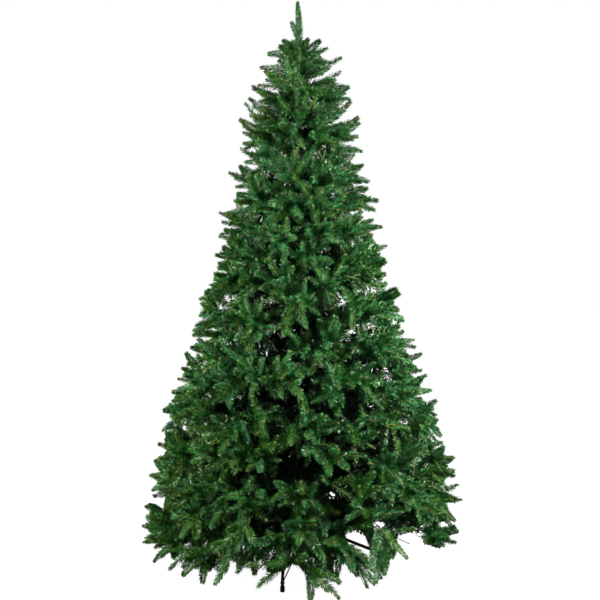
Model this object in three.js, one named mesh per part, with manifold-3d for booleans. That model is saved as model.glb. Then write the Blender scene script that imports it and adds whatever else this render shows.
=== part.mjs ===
// An artificial spruce tree on a folding steel stand.
//
// A stepped steel pole stands in a socket that four bent legs carry. Hinged boughs leave the pole in tiers
// and each one runs into its own mass of foliage. The lowest boughs droop and the highest ones rise, and
// together the masses make a straight-sided cone with a rounded top and a single upright leader.
//
// Millimetres, +Z up. The origin lies on the floor under the pole. -Y is the front.

import * as THREE from "three";
import { mergeVertices } from "three/addons/utils/BufferGeometryUtils.js";
import Module from "manifold-3d";

const wasm = await Module();
wasm.setup();

// ---- Driving dimensions ----------------------------------------------------------------------------------

const GAP = 0.4; // between solids that touch

const TREE_HEIGHT = 2400;

// The crown. A bough is known by its root, the height at which it leaves the pole.
const MOST_REACH = 712; // the furthest that any tip stands from the pole's axis
const CONE_TOP = { height: 2200, radius: 214 }; // where the cone's side meets the rounded top
const CONE_GROWTH = 0.247; // radius gained for each millimetre further down
const ROOTS = { lowest: 290, highest: 2215 };
const RISE = { lowest: -0.27, highest: 0.79 }; // slope of the boughs at those roots
const ROUND_TOP = { root: 2262, depth: 290 }; // the reach shrinks over this depth, to nothing at this root

// Masses stand in tiers. The seam between two tiers waves up and down, and the seams between neighbours lean.
const TIERS = [
  { name: "skirt", root: 308, count: 5, turn: 5, inner: 0.26, columns: 9, rows: 4 },
  { name: "lower", root: 510, count: 4, turn: 40, inner: 0.23, columns: 9, rows: 5 },
  { name: "middle", root: 855, count: 4, turn: 4, inner: 0.22, columns: 8, rows: 5 },
  { name: "upper", root: 1235, count: 4, turn: 58, inner: 0.21, columns: 7, rows: 6 },
  { name: "high", root: 1615, count: 3, turn: 25, inner: 0.22, columns: 7, rows: 5 },
  { name: "top", root: 1930, count: 2, turn: 80, inner: 0.28, columns: 9, rows: 4 },
];
const TIER_SEAM = { gap: 10, height: 34, waves: 4, phase: 2.3 };
const SKIRT_EDGE = { height: 18, waves: 2 }; // the crown's lower edge, which is higher at both sides
const SECTOR_SEAM = { gap: 0.035, lean: 0.13 }; // a share of the sector, and radians

// The square rings of a mass: how far along it each stands, and its width as a share of the full width.
const MASS_RINGS = [
  { along: 0.04, width: 0.5 },
  { along: 0.34, width: 0.94 },
  { along: 0.72, width: 1 },
  { along: 1, width: 1 },
];
const TUFT = {
  depth: 98, // of the dips between tufts on the outer face
  fullFrom: 300, // reach from which the dips have that depth, as nearer the top they are shallower
  sideDip: 0.05, // share of its width that a mass loses at a dip
  rounding: 0.14, // of the corners between the sides of a mass
  size: 0.975, // the smallest mass, as a share of the crown's reach
};

const BOUGH = { rootRadius: 6.5, endRadius: 4, sides: 8 };

const POLE_SECTIONS = [
  { top: 950, radius: 16 },
  { top: 1640, radius: 14 },
  { top: 2130, radius: 9.5 },
  { top: 2240, radius: 4 },
];
const POLE_FOOT = 78; // underside of the pole, inside the socket
const SWAGE = 7; // length of the cone between two pole diameters
const POLE_SIDES = 16;
const LEADER = { wire: 2, overWire: 24, foot: 2246, widest: 2290, radius: 19, sides: 12 };

const STAND_LEGS = 4;
const FIRST_LEG = 258.3; // degrees from +X, so that one leg points forward and a little to the left
const LEG = { radius: 6.5, root: 34, rootHeight: 187, reach: 340, kneeHeight: 84, bend: 42, sides: 8 };
const FOOT = { radius: 9.5, height: 24, floor: 6, chamfer: 1.5, sides: 12 };
const BRACE = { radius: 2.6, root: 30, rootHeight: 90, height: 36, sides: 6 };
const SOCKET = { radius: 21, wall: 3.6, low: 72, high: 300, rim: 3, sides: 16 };
const LUG = { thickness: 4, length: 30, height: 26 };
const BRACE_LUG = { thickness: 3, length: 24, height: 16 };
const THUMBSCREW = { height: 262, radius: 4, length: 30, wing: 24, thickness: 4 };

const COLOURS = {
  needles: { color: 0x2f6b38, roughness: 0.55, metalness: 0 },
  boughs: { color: 0x4a3a22, roughness: 0.75, metalness: 0 },
  pole: { color: 0x23261f, roughness: 0.5, metalness: 0.2 },
  stand: { color: 0x101113, roughness: 0.4, metalness: 0.3 },
  plastic: { color: 0x0b0b0c, roughness: 0.7, metalness: 0 },
};

// ---- Helpers ---------------------------------------------------------------------------------------------

const radians = THREE.MathUtils.degToRad;
const lerp = THREE.MathUtils.lerp;
const materials = Object.fromEntries(
  Object.entries(COLOURS).map(([name, look]) => [name, new THREE.MeshStandardMaterial(look)]),
);
const tree = new THREE.Group();

function add(name, geometry, material) {
  const mesh = new THREE.Mesh(geometry, materials[material]);
  mesh.name = name;
  tree.add(mesh);
  return mesh;
}

// A seeded random number source: the same tree comes out every time.
function randomSource(seed) {
  let state = seed;
  return () => {
    state = (Math.imul(state, 1664525) + 1013904223) >>> 0;
    return state / 2 ** 32;
  };
}

function solidOf(geometry) {
  const bare = geometry.index ? geometry.toNonIndexed() : geometry.clone();
  bare.deleteAttribute("normal");
  bare.deleteAttribute("uv");
  const merged = mergeVertices(bare, 1e-3);
  return new wasm.Manifold(
    new wasm.Mesh({
      numProp: 3,
      vertProperties: merged.attributes.position.array,
      triVerts: new Uint32Array(merged.index.array),
    }),
  );
}

function geometryOf(solid) {
  const mesh = solid.getMesh();
  return new THREE.BufferGeometry()
    .setAttribute("position", new THREE.BufferAttribute(mesh.vertProperties, 3))
    .setIndex(new THREE.BufferAttribute(mesh.triVerts, 1));
}

// A turned shape: profile points are [radius, height] from the bottom up.
function turned(profile, sides) {
  const points = profile.map(([radius, height]) => new THREE.Vector2(radius, height));
  return new THREE.LatheGeometry(points, sides).rotateX(Math.PI / 2);
}

// A round bar along a curve.
function barAlong(curve, radius, sides, steps) {
  const section = new THREE.Shape(
    Array.from({ length: sides }, (_, i) => {
      const turn = (2 * Math.PI * i) / sides;
      return new THREE.Vector2(radius * Math.cos(turn), radius * Math.sin(turn));
    }),
  );
  return new THREE.ExtrudeGeometry(section, { steps, extrudePath: curve, bevelEnabled: false });
}

// ---- The crown's form ------------------------------------------------------------------------------------

// How steeply a bough climbs, or droops if negative.
function rise(root) {
  const share = (root - ROOTS.lowest) / (ROOTS.highest - ROOTS.lowest);
  return lerp(RISE.lowest, RISE.highest, share);
}

// How far from the axis the tips of a bough stand: where its line meets the cone, shortened at the top.
function reach(root) {
  const slope = rise(root);
  const radiusAtRoot = CONE_TOP.radius + CONE_GROWTH * (CONE_TOP.height - root);
  const onCone = radiusAtRoot / (1 + CONE_GROWTH * slope);
  const rounding = Math.sqrt(Math.min(1, (ROUND_TOP.root - root) / ROUND_TOP.depth));
  return Math.min(MOST_REACH, onCone) * rounding;
}

function crownPoint(azimuth, root, radius) {
  return new THREE.Vector3(
    radius * Math.cos(azimuth),
    radius * Math.sin(azimuth),
    root + rise(root) * radius,
  );
}

// ---- Foliage ---------------------------------------------------------------------------------------------

// The seam under a tier: the root at which it runs, at an azimuth.
function tierSeam(level, azimuth) {
  if (level === 0) return TIERS[0].root + SKIRT_EDGE.height * Math.cos(SKIRT_EDGE.waves * azimuth);
  if (level === TIERS.length) return ROOTS.highest;
  return TIERS[level].root + TIER_SEAM.height * Math.sin(TIER_SEAM.waves * azimuth + TIER_SEAM.phase * level);
}

function middleRoot(level, azimuth) {
  return (tierSeam(level, azimuth) + tierSeam(level + 1, azimuth)) / 2;
}

// A mass of foliage: a closed shell that widens from its bough outwards in square rings, and ends in a grid
// of tufts. Every other corner of the grid is a dip between two tufts.
function foliageMass(level, azimuth, random) {
  const { count, columns, rows } = TIERS[level];
  const middle = middleRoot(level, azimuth);
  const halfWidth = (Math.PI / count) * (1 - SECTOR_SEAM.gap);
  const inner = TIERS[level].inner * reach(middle);
  const size = lerp(TUFT.size, 1, random());

  const corner = (column, row, ring) => {
    const [u, v] = [(2 * column) / columns - 1, (2 * row) / rows - 1];
    const isDip = (column + row) % 2 === 1;
    const isOuter = ring === MASS_RINGS.length - 1;
    const { along, width } = MASS_RINGS[ring];
    const narrowing = width * (1 - (isDip ? TUFT.sideDip : 0) * random());
    const across = u * narrowing * Math.sqrt(1 - TUFT.rounding * v * v);
    const up = v * narrowing * Math.sqrt(1 - TUFT.rounding * u * u);
    const turn = azimuth + across * halfWidth + up * (level % 2 ? 1 : -1) * SECTOR_SEAM.lean;
    const height = tierSeam(level + 1, turn) - tierSeam(level, turn) - TIER_SEAM.gap;
    const root = middleRoot(level, turn) + (up * height) / 2;
    const depth = TUFT.depth * Math.min(1, reach(root) / TUFT.fullFrom);
    const dip = depth * (isDip ? lerp(0.7, 1, random()) : lerp(0, 0.22, random()));
    const outline = size * reach(root) - (isOuter ? dip : 0);
    return crownPoint(turn, root, lerp(inner, outline, along));
  };

  const edge = [];
  for (let column = 0; column < columns; column++) edge.push([column, 0]);
  for (let row = 0; row < rows; row++) edge.push([columns, row]);
  for (let column = columns; column > 0; column--) edge.push([column, rows]);
  for (let row = rows; row > 0; row--) edge.push([0, row]);

  const points = [crownPoint(azimuth, middle, inner)];
  const rings = [];
  const outer = MASS_RINGS.length - 1;
  for (let ring = 0; ring < outer; ring++) {
    rings.push(edge.map(([column, row]) => points.push(corner(column, row, ring)) - 1));
  }
  const grid = [];
  for (let column = 0; column <= columns; column++) {
    grid.push([]);
    for (let row = 0; row <= rows; row++) grid[column].push(points.push(corner(column, row, outer)) - 1);
  }
  rings.push(edge.map(([column, row]) => grid[column][row]));

  const faces = [];
  edge.forEach((_, i) => {
    const next = (i + 1) % edge.length;
    faces.push(0, rings[0][next], rings[0][i]);
    for (let ring = 0; ring < outer; ring++) {
      const [a, b, c, d] = [rings[ring][i], rings[ring][next], rings[ring + 1][i], rings[ring + 1][next]];
      faces.push(a, b, d, a, d, c);
    }
  });
  for (let column = 0; column < columns; column++) {
    for (let row = 0; row < rows; row++) {
      const [a, b] = [grid[column][row], grid[column + 1][row]];
      const [c, d] = [grid[column][row + 1], grid[column + 1][row + 1]];
      if ((column + row) % 2 === 0) faces.push(a, b, c, b, d, c);
      else faces.push(a, b, d, a, d, c);
    }
  }
  return new THREE.BufferGeometry().setFromPoints(points).setIndex(faces);
}

// The bare inner part of a bough: one tapering limb from the pole to where it enters its mass.
function bough(level, azimuth) {
  const root = middleRoot(level, azimuth);
  const poleRadius = POLE_SECTIONS.find((section) => root < section.top).radius;
  const tilt = Math.abs(rise(root));
  const start = crownPoint(azimuth, root, poleRadius + GAP + BOUGH.rootRadius * tilt);
  const massStart = TIERS[level].inner * reach(root);
  const end = crownPoint(azimuth, root, massStart - GAP - BOUGH.endRadius * tilt);
  const along = new THREE.Vector3().subVectors(end, start);
  const limb = new THREE.CylinderGeometry(BOUGH.endRadius, BOUGH.rootRadius, along.length(), BOUGH.sides);
  limb.translate(0, along.length() / 2, 0);
  const turn = new THREE.Quaternion().setFromUnitVectors(new THREE.Vector3(0, 1, 0), along.normalize());
  return limb.applyQuaternion(turn).translate(...start);
}

// ---- Pole and leader -------------------------------------------------------------------------------------

function poleProfile(clearance = 0) {
  const profile = [
    [0, POLE_FOOT - clearance],
    [POLE_SECTIONS[0].radius + clearance, POLE_FOOT - clearance],
  ];
  POLE_SECTIONS.forEach((section, i) => {
    const next = POLE_SECTIONS[i + 1] ?? { radius: LEADER.wire };
    profile.push([section.radius + clearance, section.top - SWAGE]);
    profile.push([next.radius + clearance, section.top]);
  });
  const tip = TREE_HEIGHT - LEADER.overWire + clearance;
  profile.push([LEADER.wire + clearance, tip], [0, tip]);
  return profile;
}

// The upright spray at the very top, cut round the wire that it stands on.
function leaderMass() {
  const spindle = turned(
    [
      [0, LEADER.foot],
      [LEADER.radius * 0.7, LEADER.foot],
      [LEADER.radius, LEADER.widest],
      [LEADER.radius * 0.88, lerp(LEADER.widest, TREE_HEIGHT, 0.5)],
      [LEADER.radius * 0.5, lerp(LEADER.widest, TREE_HEIGHT, 0.88)],
      [0, TREE_HEIGHT],
    ],
    LEADER.sides,
  );
  return geometryOf(solidOf(spindle).subtract(solidOf(turned(poleProfile(GAP), POLE_SIDES))));
}

// ---- Stand -----------------------------------------------------------------------------------------------

// Two plates that a leg or a brace swings between.
function lugPair({ thickness, length, height }, width, atHeight) {
  return [-1, 1].map((side) =>
    new THREE.BoxGeometry(length, thickness, height).translate(
      SOCKET.radius - SOCKET.wall + length / 2,
      side * (width / 2 + GAP + thickness / 2),
      atHeight,
    ),
  );
}

function socket() {
  const inside = SOCKET.radius - SOCKET.wall;
  const cup = turned(
    [
      [0, SOCKET.low],
      [SOCKET.radius, SOCKET.low],
      [SOCKET.radius, SOCKET.high - SOCKET.rim],
      [SOCKET.radius + SOCKET.rim, SOCKET.high - SOCKET.rim],
      [SOCKET.radius + SOCKET.rim, SOCKET.high],
      [inside, SOCKET.high],
      [inside, POLE_FOOT - GAP],
      [0, POLE_FOOT - GAP],
    ],
    SOCKET.sides,
  );
  let solid = solidOf(cup);
  for (let i = 0; i < STAND_LEGS; i++) {
    const lugs = [
      ...lugPair(LUG, 2 * LEG.radius, LEG.rootHeight),
      ...lugPair(BRACE_LUG, 2 * BRACE.radius, BRACE.rootHeight),
    ];
    for (const lug of lugs) solid = solid.add(solidOf(lug.rotateZ(legAzimuth(i))));
  }
  return geometryOf(solid);
}

function legAzimuth(i) {
  return radians(FIRST_LEG + (360 / STAND_LEGS) * i);
}

// A straight leg that slopes down from the socket, and bends down into its foot.
function leg() {
  const start = new THREE.Vector3(LEG.root, 0, LEG.rootHeight);
  const knee = new THREE.Vector3(LEG.reach, 0, LEG.kneeHeight);
  const end = new THREE.Vector3(LEG.reach, 0, FOOT.floor + GAP);
  const intoKnee = knee.clone().lerp(start, LEG.bend / knee.distanceTo(start));
  const outOfKnee = knee.clone().lerp(end, LEG.bend / knee.distanceTo(end));
  const path = new THREE.CurvePath();
  path.add(new THREE.LineCurve3(start, intoKnee));
  path.add(new THREE.QuadraticBezierCurve3(intoKnee, knee, outOfKnee));
  path.add(new THREE.LineCurve3(outOfKnee, end));
  return barAlong(path, LEG.radius, LEG.sides, 18);
}

// A thin rod from the bottom of the socket to the upright end of a leg.
function brace() {
  const slope = (BRACE.rootHeight - BRACE.height) / (LEG.reach - BRACE.root);
  const legSide = LEG.reach - LEG.radius - GAP;
  const start = new THREE.Vector3(BRACE.root, 0, BRACE.rootHeight);
  const end = new THREE.Vector3(legSide - BRACE.radius * slope, 0, BRACE.height);
  return barAlong(new THREE.LineCurve3(start, end), BRACE.radius, BRACE.sides, 1);
}

// A plastic cup on the end of a leg, flat underneath.
function foot() {
  const inside = LEG.radius + GAP;
  return turned(
    [
      [0, 0],
      [FOOT.radius - FOOT.chamfer, 0],
      [FOOT.radius, FOOT.chamfer],
      [FOOT.radius - FOOT.chamfer / 2, FOOT.height],
      [inside, FOOT.height],
      [inside, FOOT.floor],
      [0, FOOT.floor],
    ],
    FOOT.sides,
  ).translate(LEG.reach, 0, 0);
}

// The screw that clamps the pole, with a flat wing to turn it by.
function thumbscrew() {
  const start = SOCKET.radius + GAP;
  const shank = new THREE.CylinderGeometry(THUMBSCREW.radius, THUMBSCREW.radius, THUMBSCREW.length, 10)
    .rotateZ(Math.PI / 2)
    .translate(start + THUMBSCREW.length / 2, 0, THUMBSCREW.height);
  const wing = new THREE.BoxGeometry(THUMBSCREW.wing / 2, THUMBSCREW.thickness, THUMBSCREW.wing).translate(
    start + THUMBSCREW.length,
    0,
    THUMBSCREW.height,
  );
  const betweenLegs = legAzimuth(0.5);
  return geometryOf(solidOf(shank).add(solidOf(wing))).rotateZ(betweenLegs);
}

// ---- Assembly --------------------------------------------------------------------------------------------

add("trunk_pole", turned(poleProfile(), POLE_SIDES), "pole");
add("foliage_leader", leaderMass(), "needles");

TIERS.forEach((tier, level) => {
  const random = randomSource(101 + 17 * level);
  for (let i = 0; i < tier.count; i++) {
    const azimuth = radians(tier.turn + (360 / tier.count) * i);
    add(`bough_${tier.name}_${i + 1}`, bough(level, azimuth), "boughs");
    add(`foliage_${tier.name}_${i + 1}`, foliageMass(level, azimuth, random), "needles");
  }
});

add("stand_socket", socket(), "stand");
add("stand_thumbscrew", thumbscrew(), "stand");
for (let i = 0; i < STAND_LEGS; i++) {
  add(`stand_leg_${i + 1}`, leg(), "stand").rotation.z = legAzimuth(i);
  add(`stand_brace_${i + 1}`, brace(), "stand").rotation.z = legAzimuth(i);
  add(`stand_foot_${i + 1}`, foot(), "plastic").rotation.z = legAzimuth(i);
}

export default tree;
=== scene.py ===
"""An artificial spruce tree on a folding stand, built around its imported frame.

The file is laid out as an add-on and is run as a script. Each operator makes one kind of piece, and the crown
grows by a seeded rule: rings of boughs leave the pole, side twigs leave the boughs, and every bough and twig ends
in tips, which are wires with needles all round them. More tips then grow towards the places that are still bare.
"""

import math
from dataclasses import dataclass, field

import bpy
import numpy as np
from bpy.props import FloatProperty, FloatVectorProperty, IntProperty, PointerProperty
from bpy.types import Operator, Panel, PropertyGroup
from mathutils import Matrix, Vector


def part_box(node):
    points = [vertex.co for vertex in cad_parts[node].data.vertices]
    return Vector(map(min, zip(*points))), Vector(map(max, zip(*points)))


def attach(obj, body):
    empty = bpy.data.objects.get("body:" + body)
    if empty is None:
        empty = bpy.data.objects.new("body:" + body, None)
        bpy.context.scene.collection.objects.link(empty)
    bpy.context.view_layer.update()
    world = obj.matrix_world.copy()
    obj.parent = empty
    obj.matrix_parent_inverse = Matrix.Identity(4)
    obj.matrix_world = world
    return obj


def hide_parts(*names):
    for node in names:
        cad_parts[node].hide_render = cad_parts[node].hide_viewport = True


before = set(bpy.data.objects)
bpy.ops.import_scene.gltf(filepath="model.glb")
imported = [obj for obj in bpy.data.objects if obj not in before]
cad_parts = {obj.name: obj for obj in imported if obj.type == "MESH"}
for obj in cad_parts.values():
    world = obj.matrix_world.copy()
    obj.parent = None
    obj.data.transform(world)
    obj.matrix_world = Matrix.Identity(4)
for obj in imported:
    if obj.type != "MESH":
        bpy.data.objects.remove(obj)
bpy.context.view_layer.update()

bl_info = {
    "name": "Artificial Spruce Tree",
    "version": (1, 0, 0),
    "blender": (4, 5, 0),
    "location": "3D View > Sidebar > Spruce",
    "description": "Builds an artificial spruce tree with its pole, boughs, needle tips and folding stand",
    "category": "Object",
}

# ---- Sizes from the frame, in metres ----

LEADER_FOOT, TREE_HEIGHT = (corner.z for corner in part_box("foliage_leader"))
POLE_FOOT, POLE_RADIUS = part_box("trunk_pole")[0].z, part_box("trunk_pole")[1].x
SOCKET_LOW, SOCKET_HIGH = (corner.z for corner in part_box("stand_socket"))

# Heights at which the pole steps down, with the radius below each.
POLE_SECTIONS = ((0.950, 0.016), (1.640, 0.014), (2.130, 0.0095), (2.240, 0.004))

STAND_LEGS, FIRST_LEG = 4, math.radians(258.3)
LEG_RADIUS, LEG_ROOT, LEG_ROOT_HEIGHT, LEG_REACH = 0.0065, 0.034, 0.187, 0.340
KNEE_HEIGHT, KNEE_BEND = 0.084, 0.042
FOOT_RADIUS, FOOT_HEIGHT, SOLE = 0.0095, 0.024, 0.006
BRACE_RADIUS, BRACE_ROOT, BRACE_ROOT_HEIGHT, BRACE_END_HEIGHT = 0.0026, 0.030, 0.090, 0.036
SOCKET_RADIUS, SOCKET_WALL = 0.021, 0.0036
SCREW_HEIGHT, SCREW_RADIUS, SCREW_LENGTH = 0.262, 0.004, 0.030
# What the stand's parts keep clear of each other.
PLAY = 0.0004

# ---- The crown's form ----

# A bough is known by its root, the height at which it leaves the pole.
MOST_REACH = 0.712
CONE_TOP_HEIGHT, CONE_TOP_RADIUS, CONE_GROWTH = 2.200, 0.214, 0.247
LOWEST_ROOT, HIGHEST_ROOT = 0.290, 2.215
LOWEST_RISE, HIGHEST_RISE = -0.27, 0.79
ROUND_TOP_ROOT, ROUND_TOP_DEPTH = 2.262, 0.290

# The crown's tiers, and the height that the tips of each start below.
TIERS = (
    ("skirt", 0.510), ("lower", 0.855), ("middle", 1.235), ("upper", 1.615), ("high", 1.930), ("top", math.inf),
)
# The last tone is painted shade: a near-black green that stands in for the shade deep inside the crown.
TONES = ("bluish", "fresh", "leafy", "shaded")

# How many patterns of needles the tips of each grade take turns with.
PATTERNS = 6

# The camera, whose place is the one that the crown's openings are seen from.
VIEW_DISTANCE, VIEW_HEIGHT = 4.5, 1.25
SENSOR_WIDTH, LENS, LENS_SHIFT = 36, 63.7, -0.0443
# Height at which the light panels aim.
PANEL_AIM = 1.0
# Openings in the crown, as the camera sees them on the plane of the pole: across, height, half width, half height.
OPENINGS = (
    (0.064, 2.074, 0.028, 0.010),
    (-0.108, 2.028, 0.045, 0.006),
    (0.212, 1.800, 0.020, 0.010),
    (0.136, 0.313, 0.021, 0.023),
    (0.097, 0.270, 0.010, 0.008),
    (0.330, 0.186, 0.020, 0.023),
    (0.235, 0.122, 0.053, 0.023),
    (0.445, 0.116, 0.040, 0.030),
    (-0.040, -0.055, 0.078, 0.060),
)

# Ends of the tips that hang in front of a foot of the stand, and their length.
FRINGE = ((0.290, -0.47, 0.088), (0.306, -0.45, 0.098), (0.322, -0.44, 0.104), (0.300, -0.41, 0.108))
FRINGE_LENGTH = 0.115


def rise(root):
    """How steeply a bough climbs from its root, or droops if negative."""
    share = (root - LOWEST_ROOT) / (HIGHEST_ROOT - LOWEST_ROOT)
    return LOWEST_RISE + share * (HIGHEST_RISE - LOWEST_RISE)


def reach(root):
    """How far from the pole's axis the tips of a bough end."""
    on_cone = CONE_TOP_RADIUS + CONE_GROWTH * (CONE_TOP_HEIGHT - root)
    on_cone /= 1 + CONE_GROWTH * rise(root)
    rounding = np.sqrt(np.clip((ROUND_TOP_ROOT - root) / ROUND_TOP_DEPTH, 0, 1))
    return np.minimum(MOST_REACH, on_cone) * rounding


OUTLINE_ROOTS = np.linspace(LOWEST_ROOT, HIGHEST_ROOT, 80)
OUTLINE_RADII = reach(OUTLINE_ROOTS)
OUTLINE_HEIGHTS = OUTLINE_ROOTS + rise(OUTLINE_ROOTS) * OUTLINE_RADII


def outline(height):
    """The crown's radius at a height."""
    return float(np.interp(height, OUTLINE_HEIGHTS, OUTLINE_RADII))


# Share of the outline's radius that the tips take up, by height.
FULLNESS = (
    (0.15, 0.940), (0.45, 0.950), (0.60, 0.965), (0.95, 0.905),
    (1.25, 0.865), (1.75, 0.825), (2.05, 0.870), (2.25, 0.980),
)
# How much fuller the right is, and where.
BULGE, BULGE_HEIGHT, BULGE_SPREAD = 0.036, 0.45, 0.3

# Wires and tips.
TWIG_RADIUS, TWIG_END_RADIUS, TWIG_ROOM = 0.0021, 0.0016, 0.03
BOUGH_RADIUS, BOUGH_EXTRA, BOUGH_END_RADIUS = 0.0022, 0.0018, 0.0019
LEADER_WIDTH, LEADER_INNER_WIDTH, LEADER_DOUBLE_FROM = 0.039, 0.037, 0.035
BESIDE_LENGTH, BESIDE_WIDTH = 0.086, 0.036
TRIES, LEAST_ROOM = 7, 0.4

# Extra boughs in the rings below a height, and what the lowest tips of the sides and of the right keep clear.
EXTRA_BOUGHS, EXTRA_BELOW = 3, 0.45
SIDE_CLEARANCE, RIGHT_CLEARANCE = 0.060, 0.04
# How tip lengths vary, how much wider the gaps get from a height upwards, and how far an opening is kept clear.
SHORTEST, LONGEST = 0.78, 1.22
SPARSER, SPARSER_FROM = 0.25, 1.6
OPENING_MARGIN = 0.15

# What counts against a shoot that leaves backwards, inwards or too close by, and the most that is borne.
BACKWARD_COST, INWARD_COST, CLOSE_COST, MOST_COST = 0.15, 0.3, 1.0, 0.36


def fullness(x, y, height):
    """The crown is slimmer than its outline above, and a little fuller on the right low down."""
    share = np.interp(height, *zip(*FULLNESS))
    sideways = x / max(1e-6, math.hypot(x, y))
    return share + BULGE * sideways * math.exp(-(((height - BULGE_HEIGHT) / BULGE_SPREAD) ** 2))


def surface(x, y, height):
    """How far from the axis the tips end on the side of a place."""
    return outline(height) * fullness(x, y, height)


def pole_radius(height):
    for top, radius in POLE_SECTIONS:
        if height < top:
            return radius
    return POLE_SECTIONS[-1][1]


def unit(vector):
    return vector / np.linalg.norm(vector)


UP = np.array([0.0, 0.0, 1.0])
GOLDEN_ANGLE = math.pi * (3 - math.sqrt(5))


# ---- The growing rule ----


@dataclass
class Wire:
    """A bough's or twig's wire: a curve through its start, with a droop towards its end."""

    start: np.ndarray
    direction: np.ndarray
    length: float
    droop: float
    radius: float
    end_radius: float

    def at(self, along):
        return self.start + self.direction * (self.length * along) - UP * (self.droop * self.length * along * along)

    def heading(self, along):
        return unit(self.direction - UP * (2 * self.droop * along))


@dataclass
class Tip:
    """A length of wire with needles all round it."""

    start: np.ndarray
    direction: np.ndarray
    bend: np.ndarray
    length: float
    width: float
    roll: float
    tier: int = 0
    tone: int = 0
    grade: int = 0

    def at(self, along):
        return self.start + self.length * along * (self.direction + along * self.bend)

    @property
    def end(self):
        return self.at(1.0)

    @property
    def middle(self):
        return self.at(0.7)


class Points:
    """A growing list of points that knows how near the nearest of them is."""

    def __init__(self):
        self.places = np.full((64, 3), 99.0)
        self.count = 0

    def add(self, place):
        if self.count == len(self.places):
            self.places = np.concatenate([self.places, np.full_like(self.places, 99.0)])
        self.places[self.count] = place
        self.count += 1

    @property
    def known(self):
        return self.places[: self.count]

    def away(self, target):
        """What leads from each point to a target, and how far that is."""
        away = target - self.known
        return away, np.linalg.norm(away, axis=1)

    def nearest(self, place):
        away = self.places[: self.count + 1] - place
        return math.sqrt(np.min(np.einsum("ij,ij->i", away, away)))


@dataclass
class Crown:
    rings: list = field(default_factory=list)
    boughs: list = field(default_factory=list)
    twigs: list = field(default_factory=list)
    tips: list = field(default_factory=list)


def room_along(start, direction, share):
    """How far a straight shoot can go before it meets the crown's outline."""
    length = 0.3
    for _ in range(3):
        x, y, z = start + direction * length
        target = surface(x, y, z) * share
        flat = direction[:2]
        a, b = flat @ flat, start[:2] @ flat
        c = start[:2] @ start[:2] - target * target
        inside = b * b - a * c
        if a < 1e-6 or inside < 0:
            return length
        length = max(0.0, (math.sqrt(inside) - b) / a)
    return length


def axes_across(heading):
    """The level vector across a heading, and the one over it."""
    side = unit(np.cross(heading, UP))
    return side, np.cross(side, heading)


def leaning(heading, around, polar, flatness=1.0):
    """A direction at an angle from a heading, on the side given by a turn about it."""
    side, over = axes_across(heading)
    out = side * math.cos(around) + over * (flatness * math.sin(around))
    return heading * math.cos(polar) + out * math.sin(polar)


def crosses_opening(places, width):
    """Whether something through these places would close one of the crown's openings."""
    margin = OPENING_MARGIN * width
    for x, y, z in places:
        closer = VIEW_DISTANCE / (VIEW_DISTANCE + y)
        across, height = x * closer, VIEW_HEIGHT + (z - VIEW_HEIGHT) * closer
        for gap_x, gap_z, half_x, half_z in OPENINGS:
            dx, dz = (across - gap_x) / (half_x + margin), (height - gap_z) / (half_z + margin)
            if dx * dx + dz * dz < 1:
                return True
    return False


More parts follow.
